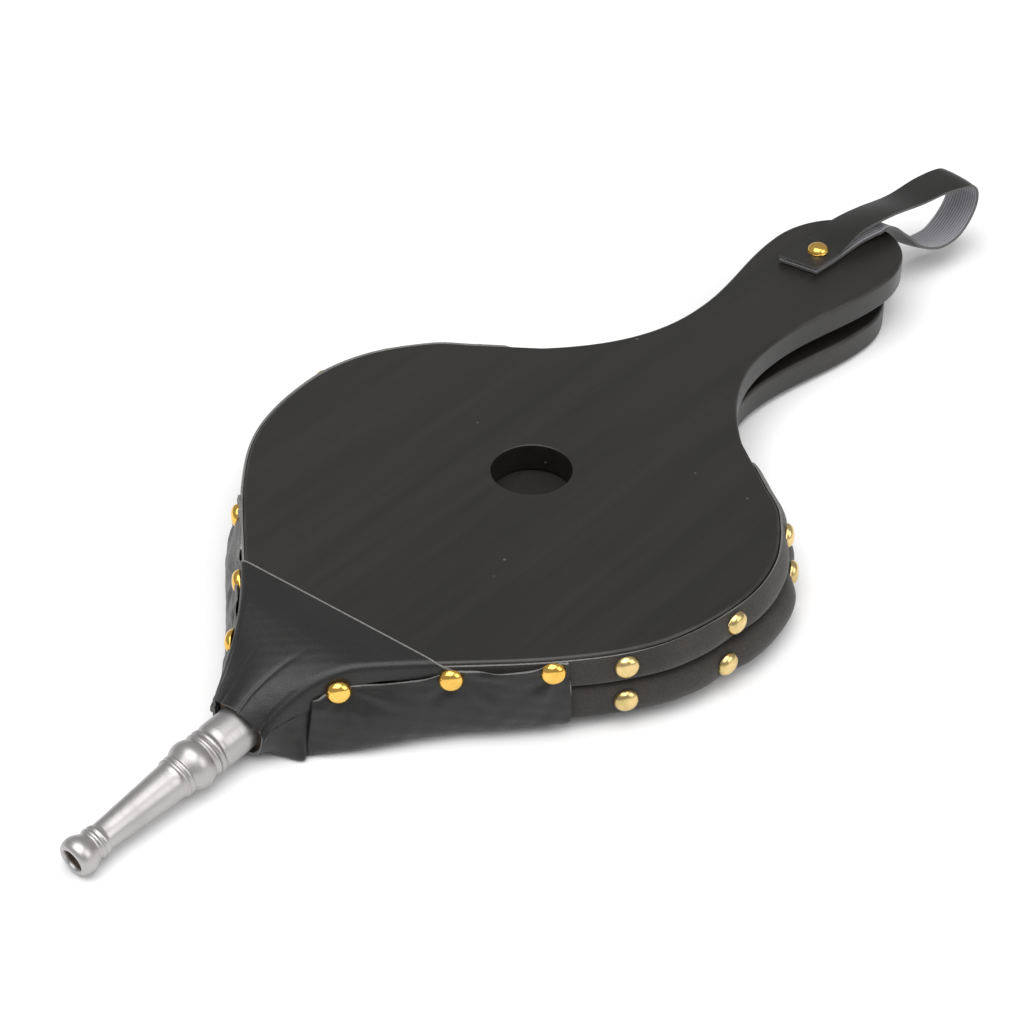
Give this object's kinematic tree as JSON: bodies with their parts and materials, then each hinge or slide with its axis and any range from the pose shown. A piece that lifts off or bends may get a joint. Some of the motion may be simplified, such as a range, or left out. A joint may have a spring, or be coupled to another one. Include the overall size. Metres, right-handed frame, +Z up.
{
  "type": "hand bellows",
  "caption": "Hand bellows with two black paddle boards, folded leather between them, a nose wrap, a turned metal nozzle, an air hole with a flap valve and a hanging strap.",
  "frame": {"origin": "on the lower board's underside, under the centre of the air hole", "axes": "+X towards the handles, -X towards the nozzle, +Z up through both boards"},
  "size_m": [0.4214, 0.1786, 0.0382],
  "materials": {
    "black_lacquer": "satin black lacquer over wood",
    "bare_wood": "bare sanded wood",
    "black_leather": "fine grained black leather, semi-matte",
    "flap_leather": "plain dark leather, matte",
    "strap_leather": "smooth black leather with a grey woven backing",
    "cast_aluminium": "turned, satin",
    "polished_brass": "polished",
    "screw_steel": "plain zinc"
  },
  "bodies": {
    "lower": {"lower_board": "black_lacquer", "nose_block": "bare_wood", "block_screw_1": "screw_steel", "block_screw_2": "screw_steel", "nozzle": "cast_aluminium", "bellows_leather": "black_leather", "nose_wrap": "black_leather", "lower_tack_right_1": "polished_brass", "lower_tack_right_2": "polished_brass", "lower_tack_right_3": "polished_brass", "wrap_tack_right_3": "polished_brass", "lower_tack_left_1": "polished_brass", "lower_tack_left_2": "polished_brass", "lower_tack_left_3": "polished_brass", "wrap_tack_left_3": "polished_brass"},
    "upper": {"upper_board": "black_lacquer", "nose_patch": "black_leather", "valve_tack_1": "screw_steel", "valve_tack_2": "screw_steel", "strap_tack": "polished_brass", "upper_tack_right_1": "polished_brass", "wrap_tack_right_1": "polished_brass", "upper_tack_right_2": "polished_brass", "wrap_tack_right_2": "polished_brass", "upper_tack_right_3": "polished_brass", "upper_tack_left_1": "polished_brass", "wrap_tack_left_1": "polished_brass", "upper_tack_left_2": "polished_brass", "wrap_tack_left_2": "polished_brass", "upper_tack_left_3": "polished_brass"},
    "flap": {"valve_flap": "flap_leather"},
    "strap": {"strap": "strap_leather"}
  },
  "joints": [
    {"name": "board_hinge", "type": "hinge", "parent": "lower", "child": "upper", "pos_m": [-0.098, 0, 0.0215], "axis": [0, -1, 0], "range_deg": [0, 24], "deforming": ["bellows_leather", "nose_wrap", "nose_patch"]},
    {"name": "valve_lift", "type": "hinge", "parent": "upper", "child": "flap", "pos_m": [-0.02092, 0, 0.01191], "axis": [0, 1, 0], "range_deg": [0, 2.5]},
    {"name": "strap_swivel", "type": "hinge", "parent": "upper", "child": "strap", "pos_m": [0.15639, 0.0033, 0.0235], "axis": [-0.0079, 0, 1], "range_deg": [-25, 25]}
  ]
}
